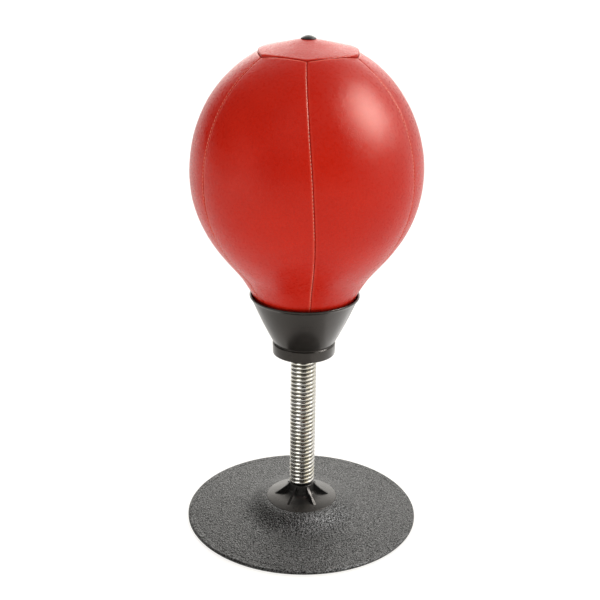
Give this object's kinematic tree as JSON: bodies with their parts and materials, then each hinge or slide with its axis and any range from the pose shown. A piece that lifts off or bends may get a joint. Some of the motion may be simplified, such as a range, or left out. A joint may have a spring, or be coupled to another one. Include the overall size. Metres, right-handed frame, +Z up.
{
  "type": "desktop punching ball",
  "caption": "Stress-relief punching ball: inflated stitched leather ball in a plastic cup on a bending coil spring with a finned hub and a suction-cup base.",
  "frame": {"origin": "centre of the base, on the surface that it stands on", "axes": "+Z up along the spring, from the base to the ball; -Y towards the viewer"},
  "size_m": [0.16, 0.16, 0.3321],
  "materials": {
    "base_rubber": "stippled, matte",
    "black_plastic": "smooth, half gloss",
    "spring_steel": "bright drawn wire, zinc plated",
    "fastener_steel": "zinc plated",
    "brass": "turned",
    "bladder_rubber": "matte latex",
    "red_leather": "coated leather, fine grain, half gloss",
    "valve_rubber": "smooth, half gloss"
  },
  "bodies": {
    "base": {"suction_cup": "base_rubber"},
    "pedestal": {"pedestal_hub": "black_plastic", "hub_insert": "brass", "base_screw": "fastener_steel", "base_washer": "fastener_steel", "spring_coils_1": "spring_steel"},
    "spring_section_1": {"spring_coils_2": "spring_steel"},
    "spring_section_2": {"spring_coils_3": "spring_steel"},
    "spring_section_3": {"spring_coils_4": "spring_steel"},
    "spring_section_4": {"spring_coils_5": "spring_steel"},
    "spring_section_5": {"spring_coils_6": "spring_steel"},
    "spring_section_6": {"spring_coils_7": "spring_steel"},
    "ball": {"ball_cup": "black_plastic", "ball_screw": "fastener_steel", "ball_washer": "fastener_steel", "ball_anchor": "black_plastic", "anchor_insert": "brass", "bladder": "bladder_rubber", "cover_gore_1": "red_leather", "cover_gore_2": "red_leather", "cover_gore_3": "red_leather", "cover_gore_4": "red_leather", "cover_gore_5": "red_leather", "cover_gore_6": "red_leather", "cover_crown": "red_leather", "valve_body": "valve_rubber"},
    "plug": {"valve_plug": "valve_rubber"}
  },
  "joints": [
    {"name": "suction_press", "type": "slide", "parent": "base", "child": "pedestal", "axis": [0, 0, -1], "range_m": [0, 0.003], "stiffness_N_per_m": 12000, "springref_m": -0.0004, "deforming": ["suction_cup"]},
    {"name": "sway_side_low", "type": "hinge", "parent": "pedestal", "child": "spring_section_1", "pos_m": [0, 0, 0.044], "axis": [0, 1, 0], "range_deg": [-15, 15], "stiffness_Nm_per_rad": 4, "deforming": ["spring_coils_1", "spring_coils_2"]},
    {"name": "sway_front_low", "type": "hinge", "parent": "spring_section_1", "child": "spring_section_2", "pos_m": [0, 0, 0.056], "axis": [1, 0, 0], "range_deg": [-15, 15], "stiffness_Nm_per_rad": 4, "deforming": ["spring_coils_3"]},
    {"name": "sway_side_middle", "type": "hinge", "parent": "spring_section_2", "child": "spring_section_3", "pos_m": [0, 0, 0.068], "axis": [0, 1, 0], "range_deg": [-15, 15], "stiffness_Nm_per_rad": 4, "deforming": ["spring_coils_4"]},
    {"name": "sway_front_middle", "type": "hinge", "parent": "spring_section_3", "child": "spring_section_4", "pos_m": [0, 0, 0.08], "axis": [1, 0, 0], "range_deg": [-15, 15], "stiffness_Nm_per_rad": 4, "deforming": ["spring_coils_5"]},
    {"name": "sway_side_high", "type": "hinge", "parent": "spring_section_4", "child": "spring_section_5", "pos_m": [0, 0, 0.092], "axis": [0, 1, 0], "range_deg": [-15, 15], "stiffness_Nm_per_rad": 4, "deforming": ["spring_coils_6"]},
    {"name": "sway_front_high", "type": "hinge", "parent": "spring_section_5", "child": "spring_section_6", "pos_m": [0, 0, 0.104], "axis": [1, 0, 0], "range_deg": [-15, 15], "stiffness_Nm_per_rad": 4, "deforming": ["spring_coils_7"]},
    {"name": "ball_twist", "type": "hinge", "parent": "spring_section_6", "child": "ball", "pos_m": [0, 0, 0.1307], "axis": [0, 0, 1], "range_deg": [-15, 15], "stiffness_Nm_per_rad": 0.35},
    {"name": "valve_plug_pull", "type": "slide", "parent": "ball", "child": "plug", "axis": [0, 0, 1], "range_m": [0, 0.012]}
  ],
  "couplings": [
    {"joint": "sway_side_middle", "follows": "sway_side_low", "ratio": 1},
    {"joint": "sway_side_high", "follows": "sway_side_low", "ratio": 1},
    {"joint": "sway_front_middle", "follows": "sway_front_low", "ratio": 1},
    {"joint": "sway_front_high", "follows": "sway_front_low", "ratio": 1}
  ]
}
